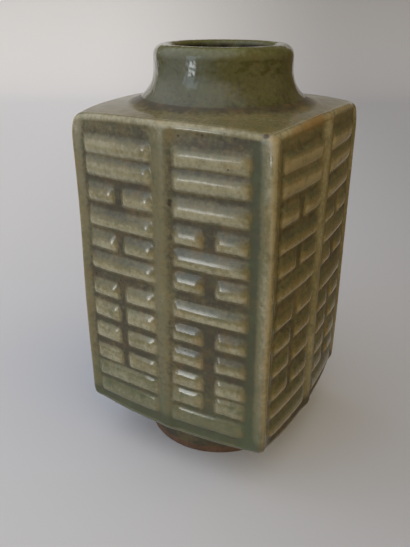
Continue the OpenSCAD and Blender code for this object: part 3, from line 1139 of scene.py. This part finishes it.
def glazeOnWall(relief, bar, sunk, above, shadedSide):
    # pale over the bars' faces and edges, deep in hollows and on upper slopes, with painted shade and painted
    # light laid in as well
    lie = glazeLie
    step = (straightZ[1] - straightZ[0]) / mm
    sideways = blurred(np.gradient(relief, alongGhost, axis=1), lie["endSoft"] / step)
    high = straightZ[:, None] / mm
    across = alongGhost[None, :] / mm
    rightHalf = across > 0
    onBar = ramp(bar, 0, lie["barFull"])
    leftEnd = ramp(sideways, 0, lie["endSteep"]) * onBar
    rightEnd = ramp(-sideways, 0, lie["endSteep"]) * onBar
    slope = ramp(above, *lie["slope"]) * onBar
    # painted shade in the hollow just under each bar, darker and browner
    under = np.roll(onBar, -int(round(lie["shadeBelow"] / step)), axis=0) * (1 - onBar) * sunk
    pooled = sunk * (1 - onBar) * (1 - lie["ribClear"] * bump(across, *lie["rib"]))
    pooled = pooled * ramp(np.abs(across), *lie["margin"])
    # painted shade: the right wall's tones are browner and darker
    if shadedSide:
        # the faces of its lines end in a pale edge
        tone = shadedWallTone
        edge = onBar * ramp(above, *lie["faceEdge"])
        near = ramp(-across, *lie["near"])
        thin = onBar * (tone["bar"] + tone["slope"] * slope + tone["faceEdge"] * edge)
        thin = thin + tone["frame"] * (1 - sunk) + tone["near"] * near
        warm = tone["barWarm"] * onBar * (1 - slope) + tone["leftEndWarm"] * leftEnd
        green = tone["slopeGreen"] * slope + tone["nearGreen"] * near
    else:
        tone = plainTone
        # painted shade towards the foot: the bars darken there, with a greener tint standing for the floor
        # they mirror
        foot = ramp(high, *lie["foot"])
        dipped = ramp(high, np.where(rightHalf, lie["dipRight"], lie["dipLeft"]), lie["dipOver"])
        thin = onBar * (tone["bar"] + (tone["slope"] + tone["dippedSlope"] * dipped) * slope)
        thin = thin + np.where(rightHalf, tone["footRight"], tone["footLeft"]) * foot * onBar
        thin = thin + tone["belly"] * bump(high, *lie["belly"])
        thin = thin + tone["under"] * under + tone["corner"] * ramp(across, *lie["corner"])
        warm = tone["underShadeWarm"] * under + tone["leftEndWarm"] * leftEnd
        # painted warm light on the bars' right-facing ends
        warm = warm + np.where(rightHalf, tone["endLightRight"], tone["endLightLeft"]) * rightEnd
        green = tone["footGreen"] * foot * (1 + tone["footEndGreen"] * rightEnd)
        green = green + tone["slopeGreen"] * slope + sumBands(across, tone["greenBands"])
    thin = thin + tone["start"] + tone["pooled"] * pooled + tone["leftEnd"] * leftEnd
    thin = thin + sumBands(across, tone["bands"])
    # paler over the head; towards the bottom rim a painted shade darkens the wall
    thin = thin + lie["headThin"] * ramp(high, *lie["head"]) + lie["soleThin"] * ramp(high, *lie["sole"])
    dullLeft = lie["dullLeftWarm"] if shadedSide else lie["dullLeft"]
    reach = np.where(rightHalf, lie["dullRight"], dullLeft)
    dull = (1 - onBar) * ramp(np.abs(across), reach, lie["dullOver"])
    dull = dull + lie["dullBar"] * onBar * ramp(high, *lie["dullBars"]) * rightHalf
    return [np.clip(blurred(field, lie["soft"] / step), 0, 1) for field in (thin, warm, green, dull)]


def wallValues(relief, shares, heights, shadedSide):
    # the rounded rims beyond the straight rows have no relief
    edgeRows = wallShape["arrisRows"]
    labels = ("glazeThinShadeAndLight", "glazeWarmShadeAndLight", "glazeGreen", "glazeDull")
    values = {}
    for label, field in zip(labels, glazeOnWall(relief, *shares, shadedSide)):
        rest = wallEdges["rim"] if label == "glazeThinShadeAndLight" else 0.0
        values[label] = np.pad(field[:, 1:-1], ((edgeRows, edgeRows), (0, 0)), constant_values=rest)
    values["glazeGreen"][:edgeRows] = values["glazeGreen"][edgeRows]
    # painted shade on the low rim, a painted highlight on the top rim
    lift = np.sin(np.linspace(0, math.pi, edgeRows + 1))
    rimLift = np.zeros(len(heights))
    rimLift[: edgeRows + 1] = wallEdges["lowRim"] * lift
    rimLift[-edgeRows - 1 :] = wallEdges["topRim"] * lift
    # the upright corners break pale, most of all along the arris
    far = (halfPath - np.abs(alongGhost[1:-1])) / mm
    low = wallEdges["brightLow"]
    bright = low + (1 - low) * bump(heights / mm, *wallEdges["bright"])
    cornerThin = sumBands(far, ((0, *wallEdges["wide"]),))
    cornerThin = cornerThin + sumBands(far, ((0, *wallEdges["narrow"]),)) * bright[:, None]
    cornerWarm = sumBands(far, ((0, *wallEdges["warm"]),))
    values["glazeThinShadeAndLight"] = np.clip(values["glazeThinShadeAndLight"] + rimLift[:, None] + cornerThin, 0, 1)
    values["glazeWarmShadeAndLight"] = np.clip(values["glazeWarmShadeAndLight"] + cornerWarm, 0, 1)
    return values


def makeWall(name, quarter, tree, marks, panels, seed):
    relief, *shares = pressRelief(tree, marks, panels, alongGhost, straightZ, seed, wallGlaze)
    step = straightZ[1] - straightZ[0]
    relief = blurred(relief, trigramLines["glazeSoft"] / step)
    skin = warped(turnAbout(wallSkin(relief), quarter))
    normals = gridNormals(skin)
    points = skin[1:-1, 1:-1]
    rows, columns = points.shape[:2]
    values = wallValues(relief, shares, points[:, 0, 2], quarter == 1)
    # close the slab behind the skin: mitred sides, rebated ends, flat inner face
    index = np.arange(rows * columns).reshape(rows, columns)
    rim = np.concatenate((index[0, :-1], index[:-1, -1], index[-1, :0:-1], index[:0:-1, 0]))
    flat = points.reshape(-1, 3)
    back = turnAbout(flat[rim], (4 - quarter) % 4)
    inner = wallShape["inner"]
    lowInner = wallShape["rimLow"] + baseShape["thick"]
    topInner = wallShape["rimHigh"] - shoulderShape["thick"]
    back[:, 0] = np.clip(back[:, 0], -inner, inner)
    back[:, 1] = -inner
    back[:, 2] = np.clip(back[:, 2], lowInner, topInner)
    back = turnAbout(back, quarter)
    backIndex = len(flat) + np.arange(len(rim))
    hidden = ringFaces(backIndex, rim)
    hidden.append(backIndex[::-1].tolist())
    for label, field in values.items():
        rest = hiddenThin if label == "glazeThinShadeAndLight" else 0.0
        values[label] = np.pad(field.reshape(-1), (0, len(rim)), constant_values=rest)
    wall = makePiece(
        name,
        np.concatenate((flat, back)),
        gridFaces(rows, columns).tolist(),
        hidden,
        np.concatenate((normals.reshape(-1, 3), 0 * back)),
        values,
        wallGlaze,
    )
    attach(wall, "root")
    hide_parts(name)
    wall.name = name + "_relief"


reliefTree = makeReliefTree()
panelMidX = sum(trigramLines["panelX"]) / 2
panelHalfX = (trigramLines["panelX"][1] - trigramLines["panelX"][0]) / 2
panelMidZ = sum(trigramLines["panelZ"]) / 2
panelHalfZ = (trigramLines["panelZ"][1] - trigramLines["panelZ"][0]) / 2
panelObject = markObject(
    "panelMarks",
    [(side * panelMidX, panelMidZ, panelHalfX, panelHalfZ) for side in (-1, 1)],
    ("halfX", "halfZ"),
)
for quarter, wallName in enumerate(("front_wall", "right_wall", "back_wall", "left_wall")):
    marks = lineMarks(trigramLines, trigramLines["outerInset"][quarter])
    lineObject = markObject("lineMarks", marks, ("halfLength",))
    makeWall(wallName, quarter, reliefTree, lineObject, panelObject, trigramLines["seed"] + quarter)
    bpy.data.objects.remove(lineObject)
    print("wall pressed:", wallName)
bpy.data.objects.remove(panelObject)


# Shoulder and base slabs: rings from the square seam in to the round seat
def seamLoop(inset):
    side = wallRow(inset, 0 * planX)[1:-2]
    return np.concatenate([turnAbout(side, quarter) for quarter in range(4)])


def arrisRing(top):
    angle = arrisAngles[-2]
    ring = seamLoop(arris * (1 - math.cos(angle)))
    straight = np.concatenate([(topStraight if top else lowStraight)[1:-2]] * 4)
    ring[:, 2] = straight + (1 if top else -1) * arris * math.sin(angle)
    return ring


def slabSkin(setting, heightAt, top):
    # the last row of the wall's rim, the seam, and rings in to just past the seat
    outer = seamLoop(seamInset)
    inset = seamLoop(seamInset + ringStep)
    angles = np.unwrap(np.arctan2(outer[:, 1], outer[:, 0]))
    circle = np.stack((np.cos(angles), np.sin(angles), 0 * angles), -1)
    seat = circle * setting["seatRadius"]
    rings = [arrisRing(top), outer, inset]
    for share in np.linspace(0, 1, setting["rings"])[1:]:
        rings.append(inset * (1 - share) + seat * share)
    rings.append(circle * (setting["seatRadius"] - seatStep))
    rings = np.array(rings)
    level = heightAt(np.hypot(rings[..., 0], rings[..., 1]))
    rings[1:, :, 2] = level[1:]
    return np.concatenate((rings[:, -1:], rings, rings[:, :1]), axis=1)


def laidSlab(setting, heightAt, top, innerZ):
    # points and normals of the glazed skin, its rings, and the square that the hidden side ends in
    skin = warped(slabSkin(setting, heightAt, top))
    normals = gridNormals(skin, 1.0 if top else -1.0)
    points = skin[1:-1, 1:-1]
    flat = points.reshape(-1, 3)
    rings = np.arange(len(flat)).reshape(points.shape[:2])
    square = np.clip(flat[rings[0]], -wallShape["inner"], wallShape["inner"])
    square[:, 2] = innerZ
    return flat, normals.reshape(-1, 3), rings, square


def slabThin(setting, flat, rings):
    pool = ramp(np.hypot(flat[:, 0], flat[:, 1]), *setting["pool"])
    share = np.repeat(np.linspace(0, 1, len(rings)), rings.shape[1])
    edge = np.exp(-share / setting["edgeShare"])
    return np.clip(setting["thin"] + setting["edgeThin"] * edge + setting["poolThin"] * pool, 0, 1)


def makeShoulder():
    innerZ = wallShape["rimHigh"] - shoulderShape["thick"]
    flat, normals, rings, square = laidSlab(shoulderShape, shoulderHeight, True, innerZ)
    count = rings.shape[1]
    # hidden side: down the rebate to the inner square, across, and up the hole to the seat
    angles = np.arctan2(flat[rings[-1], 1], flat[rings[-1], 0])
    circle = np.stack((np.cos(angles), np.sin(angles)), -1) * shoulderShape["spigot"]
    seatZ = float(shoulderHeight(np.array(shoulderShape["seatRadius"])))
    hole = np.pad(circle, ((0, 0), (0, 1)), constant_values=innerZ)
    lip = np.pad(circle, ((0, 0), (0, 1)), constant_values=seatZ)
    extra = np.concatenate((square, hole, lip))
    added = len(flat) + np.arange(len(extra)).reshape(-1, count)
    path = np.concatenate((rings[:1], added, rings[-1:]))
    thin = slabThin(shoulderShape, flat, rings)
    shoulder = makePiece(
        "shoulder_dome",
        np.concatenate((flat, extra)),
        ringFaces(rings[:-1], rings[1:]),
        ringFaces(path[1:], path[:-1]),
        np.concatenate((normals, 0 * extra)),
        {"glazeThinShadeAndLight": np.pad(thin, (0, len(extra)), constant_values=hiddenThin)},
        shoulderGlaze,
    )
    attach(shoulder, "root")
    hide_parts("shoulder_slab")


def makeBase():
    # closed across the middle inside the foot
    innerZ = wallShape["rimLow"] + baseShape["thick"]
    flat, normals, rings, square = laidSlab(baseShape, undersideHeight, False, innerZ)
    added = len(flat) + np.arange(len(square))
    hidden = [added.tolist()] + ringFaces(rings[0], added) + [rings[-1][::-1].tolist()]
    thin = slabThin(baseShape, flat, rings)
    base = makePiece(
        "base_underside",
        np.concatenate((flat, square)),
        ringFaces(rings[1:], rings[:-1]),
        hidden,
        np.concatenate((normals, 0 * square)),
        {"glazeThinShadeAndLight": np.pad(thin, (0, len(square)), constant_values=hiddenThin)},
        baseGlaze,
    )
    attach(base, "root")
    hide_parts("base_slab")


makeShoulder()
print("shoulder laid")
makeBase()
print("base laid")


# Neck and foot: thrown rings
neckShape = {
    "lip": 6.5 * mm,  # radius of the rolled lip
    "lipTop": float(cadHigh.z) - 0.05 * mm,
    "bore": 32.3 * mm,
    "boreFrom": 9 * mm,  # below the middle of the lip
    "turnIn": (0.3 * mm, -1.2 * mm),  # the lip runs into the bore over two points
    "turnDown": (-0.8 * mm, -5 * mm),
    "spigotGap": 0.2 * mm,
    "spigotLong": 7 * mm,
    "around": 500,
    "rows": {"flare": 22, "side": 12, "roll": 34, "bore": 14},
    "flareThin": 0.3,  # how thin the glaze lies from the foot up
    "sideThin": 0.45,
    "rollThin": 0.42,
    "crestThin": 0.38,
    "boreThin": 0.3,
    "dark": (-0.8, 2.0),  # painted shade: the throat darkens over the inner half of the lip
}
footShape = {
    "inner": 40.6 * mm,
    "bevel": 0.9 * mm,
    "around": 500,
    "rows": {"bevel": 8, "side": 20, "flare": 18, "inside": 8},
    "bareTo": 5.2 * mm,  # clay shows below this height
    "bareOver": -6 * mm,
    "thin": 0.12,
    "upperThin": -0.1,
    "upper": (12 * mm, 10 * mm),
}


def spun(name, profile, around, values, material, tangents):
    # profile runs outside bottom to top, then back down inside, as radius and height
    closed = np.concatenate((profile[-1:], profile, profile[:1]))
    along = closed[2:] - closed[:-2]
    for at, given in tangents.items():
        along[at] = given
    outward = np.stack((along[:, 1], -along[:, 0]), -1)
    outward /= np.linalg.norm(outward, axis=1, keepdims=True)
    angles = 2 * math.pi * np.arange(around) / around - 3 * math.pi / 4
    cosine, sine = np.cos(angles)[None, :], np.sin(angles)[None, :]
    points = np.stack((profile[:, :1] * cosine, profile[:, :1] * sine, profile[:, 1:] + 0 * cosine), -1)
    normals = np.stack((outward[:, :1] * cosine, outward[:, :1] * sine, outward[:, 1:] + 0 * cosine), -1)
    index = np.arange(len(profile) * around).reshape(-1, around)
    faces = ringFaces(index, np.roll(index, -1, axis=0))
    flat = warped(points).reshape(-1, 3)
    spread = {label: np.repeat(given, around) for label, given in values.items()}
    return makePiece(name, flat, faces, [], normals.reshape(-1, 3), spread, material)


def arcPoints(centre, radius, start, end, count):
    turns = np.radians(np.linspace(start, end, count))
    return np.stack((centre[0] + radius * np.cos(turns), centre[1] + radius * np.sin(turns)), -1)


def uprightPoints(radius, start, end, count):
    return np.stack((np.full(count, radius), np.linspace(start, end, count)), -1)


def flareTurn(setting, seatZ, side):
    # middle of the arc that leads from the seat into the upright, and its angle at the seat
    flareR, seatR = setting["flareRadius"], setting["seatRadius"]
    flareX = setting["coreRadius"] + flareR
    flareZ = seatZ + side * math.sqrt(flareR**2 - (flareX - seatR) ** 2)
    return (flareX, flareZ), math.degrees(math.atan2(seatZ - flareZ, seatR - flareX)) % 360


def makeNeck():
    neckR = shoulderShape["coreRadius"]
    seatZ = float(shoulderHeight(np.array(shoulderShape["seatRadius"])))
    centre, start = flareTurn(shoulderShape, seatZ, 1)
    rows = neckShape["rows"]
    flare = arcPoints(centre, shoulderShape["flareRadius"], start, 180, rows["flare"])
    lip = neckShape["lip"]
    lipCentre = np.array((neckR - lip, neckShape["lipTop"] - lip))
    side = uprightPoints(neckR, centre[1], lipCentre[1], rows["side"] + 2)[1:-1]
    roll = arcPoints(lipCentre, lip, 0, 180, rows["roll"])
    bore = neckShape["bore"]
    turnIn = np.array((neckR - 2 * lip, lipCentre[1])) + neckShape["turnIn"]
    turnDown = np.array((bore, lipCentre[1])) + neckShape["turnDown"]
    spigotEnd = wallShape["rimHigh"] - neckShape["spigotLong"]
    inside = uprightPoints(bore, lipCentre[1] - neckShape["boreFrom"], spigotEnd, rows["bore"])
    spigot = uprightPoints(shoulderShape["spigot"] - neckShape["spigotGap"], spigotEnd, seatZ, 2)
    hollow = np.concatenate(([turnIn, turnDown], inside, spigot))
    profile = np.concatenate((flare, side, roll, hollow))
    flareThin = np.linspace(neckShape["flareThin"], neckShape["sideThin"], len(flare))
    sideThin = np.full(len(side), neckShape["sideThin"])
    crest = np.sin(np.linspace(0, math.pi, len(roll)))
    rollThin = neckShape["rollThin"] + neckShape["crestThin"] * crest
    hollowThin = np.full(len(hollow), neckShape["boreThin"])
    outerHalf = len(flare) + len(side) + len(roll) // 2
    darkening = np.clip(np.linspace(*neckShape["dark"], len(roll) - len(roll) // 2), 0, 1)
    values = {
        "glazeThinShadeAndLight": np.concatenate((flareThin, sideThin, rollThin, hollowThin)),
        "throat": np.concatenate((np.zeros(outerHalf), darkening, np.ones(len(hollow)))),
    }
    tangents = {0: flare[1] - flare[0]}
    neck = spun("neck_ring", profile, neckShape["around"], values, neckGlaze, tangents)
    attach(neck, "root")
    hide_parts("neck")


def makeFoot():
    footR = baseShape["coreRadius"]
    seatZ = float(undersideHeight(np.array(baseShape["seatRadius"])))
    centre, start = flareTurn(baseShape, seatZ, -1)
    bevel = footShape["bevel"]
    inner = footShape["inner"]
    rows = footShape["rows"]
    tread = np.array([[inner + bevel, 0], [footR - bevel, 0]])
    outBevel = arcPoints((footR - bevel, bevel), bevel, -90, 0, rows["bevel"])[1:]
    side = uprightPoints(footR, bevel, centre[1], rows["side"] + 2)[1:-1]
    flare = arcPoints(centre, baseShape["flareRadius"], 180, start, rows["flare"])
    outside = np.concatenate((tread, outBevel, side, flare))
    inside = uprightPoints(inner, seatZ, bevel, rows["inside"] + 2)[:-1]
    inBevel = arcPoints((inner + bevel, bevel), bevel, 180, 270, rows["bevel"])[:-1]
    profile = np.concatenate((outside, inside, inBevel))
    height = profile[:, 1]
    bare = np.clip(0.5 + (height - footShape["bareTo"]) / footShape["bareOver"], 0, 1)
    bare[len(outside) :] = 1.0
    thin = np.clip(footShape["thin"] + footShape["upperThin"] * ramp(height, *footShape["upper"]), 0, 1)
    values = {"glazeThinShadeAndLight": thin, "bareClay": bare}
    tangents = {len(outside) - 1: flare[-1] - flare[-2]}
    foot = spun("foot_ring_turned", profile, footShape["around"], values, footClay, tangents)
    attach(foot, "root")
    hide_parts("foot_ring")


makeNeck()
makeFoot()
print("neck and foot thrown")

# Seam coils inside stay as the solids made them
for coilName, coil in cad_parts.items():
    if "coil" in coilName:
        coil.data.materials.clear()
        coil.data.materials.append(coilClay)

# Floor, lamps and room light
floorShape = {
    "left": (0.61, 0.645, 0.72),
    "right": (0.325, 0.34, 0.38),
    "fade": (-0.4, 0.5),  # across the view; a painted shade that darkens the paper towards the right
    "shade": (0.10, 0.075, 0.042),  # what the shaded side of the vase reflects
    "shadeFrom": (0.03, 0.25),
    "shadeSlant": 0.45,  # it starts farther to the side farther back
    "shadeTo": (1.9, 2.6),  # away from the viewer
    "windowTurn": -20,  # on this side the reflected floor darkens, then ends
    "roomFrom": (0.25, 0.5),
    "tableEdge": (0.52, 0.6),
    "roughness": 0.8,
    "near": 4.0,
    "half": 3.0,
    "back": 1.5,
    "bend": 0.4,
    "bendRows": 16,
    "rise": 0.85,
}


def floorPaper(across, away):
    material, tree, shader = newMaterial("floorPaper")
    coords = objectPlace(tree)
    side = dotWith(tree, coords, across)
    depth = dotWith(tree, coords, away)
    slant = dotWith(tree, coords, across - away * floorShape["shadeSlant"])
    turn = math.radians(floorShape["windowTurn"])
    front = dotWith(tree, coords, (math.sin(turn), -math.cos(turn), 0))
    # painted shade: the paper darkens across the view to the right
    paper = mixColour(tree, ease(tree, side, *floorShape["fade"]), floorShape["left"], floorShape["right"])
    # only what the vase mirrors is shaded and ends
    seen = addNode(tree, "ShaderNodeLightPath").outputs["Is Camera Ray"]
    hidden = calc(tree, "SUBTRACT", 1.0, seen)
    share = calc(tree, "MULTIPLY", hidden, ease(tree, slant, *floorShape["shadeFrom"]))
    share = calc(tree, "MULTIPLY", share, ease(tree, depth, *floorShape["shadeTo"], 1.0, 0.0))
    dark = calc(tree, "MULTIPLY", hidden, ease(tree, front, *floorShape["roomFrom"]))
    share = calc(tree, "MAXIMUM", share, dark)
    plug(tree, mixColour(tree, share, paper, floorShape["shade"]), shader.inputs["Base Color"])
    shader.inputs["Roughness"].default_value = floorShape["roughness"]
    past = calc(tree, "MULTIPLY", hidden, ease(tree, front, *floorShape["tableEdge"]))
    ended = addNode(tree, "ShaderNodeMixShader")
    plug(tree, past, ended.inputs[0])
    plug(tree, shader.outputs[0], ended.inputs[1])
    plug(tree, addNode(tree, "ShaderNodeBsdfTransparent").outputs[0], ended.inputs[2])
    plug(tree, ended.outputs[0], tree.nodes["Material Output"].inputs["Surface"])
    return material


def makeFloor():
    turns = np.linspace(0, math.pi / 2, floorShape["bendRows"])
    profile = [(-floorShape["near"], 0.0), (floorShape["back"], 0.0)]
    profile += [
        (floorShape["back"] + floorShape["bend"] * math.sin(t), floorShape["bend"] * (1 - math.cos(t)))
        for t in turns[1:]
    ]
    profile.append((profile[-1][0], floorShape["rise"]))
    turn = math.radians(viewPoint["azimuth"])
    across = Vector((math.cos(turn), math.sin(turn), 0))
    away = Vector((-math.sin(turn), math.cos(turn), 0))
    points = []
    for far, high in profile:
        for side in (-floorShape["half"], floorShape["half"]):
            points.append(tuple(across * side + away * far + Vector((0, 0, high))))
    faces = [(2 * i, 2 * i + 1, 2 * i + 3, 2 * i + 2) for i in range(len(profile) - 1)]
    mesh = bpy.data.meshes.new("paper_floor")
    mesh.from_pydata(points, [], faces)
    mesh.polygons.foreach_set("use_smooth", [True] * len(faces))
    mesh.materials.append(floorPaper(across, away))
    floor = bpy.data.objects.new("paper_floor", mesh)
    bpy.context.scene.collection.objects.link(floor)


makeFloor()

lampAim = Vector((0, 0, 0.13))
lampSet = {
    "window": {
        "turn": -24,
        "lift": 16,
        "far": 1.7,
        "size": (0.72, 1.4),
        "power": 3.0,
        "colour": (0.58, 0.80, 1.0),
        "fade": (0.2, 0.2),
    },
    "windowFoot": {
        "turn": -23,
        "lift": -5,
        "far": 1.68,
        "size": (0.62, 0.4),
        "power": 4.2,
        "colour": (0.9, 0.96, 1.0),
        "fade": (0.4, 0.45),
    },
    "windowSill": {
        "turn": -22,
        "lift": -8,
        "far": 1.65,
        "size": (0.5, 0.08),
        "power": 0.6,
        "colour": (1.0, 0.98, 0.95),
        "fade": (0.4, 0.3),
    },
}


def lookOut(turn, lift):
    # direction out from the vase: degrees round from the front, and up
    turn, lift = math.radians(turn), math.radians(lift)
    return Vector((math.sin(turn) * math.cos(lift), -math.cos(turn) * math.cos(lift), math.sin(lift)))


def softenLamp(lamp, fade):
    # brightness falls off towards the lamp's own edges
    lamp.use_nodes = True
    tree = lamp.node_tree
    parts = partsOf(tree, addNode(tree, "ShaderNodeNewGeometry").outputs["Parametric"])
    level = 1.0
    for axis, reach in zip(("X", "Y"), fade):
        low = ease(tree, parts[axis], 0.0, reach)
        high = ease(tree, parts[axis], 1.0 - reach, 1.0, 1.0, 0.0)
        level = calc(tree, "MULTIPLY", level, calc(tree, "MULTIPLY", low, high))
    plug(tree, level, tree.nodes["Emission"].inputs["Strength"])


def makeLamps():
    for label, setting in lampSet.items():
        out = lookOut(setting["turn"], setting["lift"])
        lamp = bpy.data.lights.new(label, "AREA")
        lamp.shape = "RECTANGLE"
        lamp.size, lamp.size_y = setting["size"]
        lamp.energy = setting["power"]
        lamp.color = setting["colour"]
        softenLamp(lamp, setting["fade"])
        holder = bpy.data.objects.new(label, lamp)
        bpy.context.scene.collection.objects.link(holder)
        holder.location = lampAim + out * setting["far"]
        holder.rotation_mode = "QUATERNION"
        holder.rotation_quaternion = (-out).to_track_quat("-Z", "Y")


makeLamps()
roomLight = {
    "room": (0.120, 0.095, 0.065),
    "seen": (0.5, 0.5, 0.51),
    "glows": (
        # turn, lift, where it starts and is full (cosine), colour, share left in reflections
        (-36, 40, 0.15, 1.0, (1.03, 1.09, 1.21), 0.8),
        (72, 20, 0.2, 1.0, (1.12, 0.86, 0.47), 0.3),
    ),
}


def makeWorld(setting):
    world = bpy.data.worlds.new("room")
    world.use_nodes = True
    tree = world.node_tree
    look = addNode(tree, "ShaderNodeTexCoord").outputs["Generated"]
    light = (*setting["room"], 1.0)
    paths = addNode(tree, "ShaderNodeLightPath")
    mirrored = paths.outputs["Is Glossy Ray"]
    for turn, lift, start, full, colour, left in setting["glows"]:
        share = ease(tree, dotWith(tree, look, lookOut(turn, lift)), start, full)
        share = calc(tree, "MULTIPLY", share, calc(tree, "MULTIPLY_ADD", mirrored, left - 1, 1.0))
        light = mixColour(tree, share, light, colour, "ADD")
    light = mixColour(tree, paths.outputs["Is Camera Ray"], light, setting["seen"])
    plug(tree, light, tree.nodes["Background"].inputs["Color"])
    return world


world = makeWorld(roomLight)
bpy.context.scene.world = world
print("stage lit")
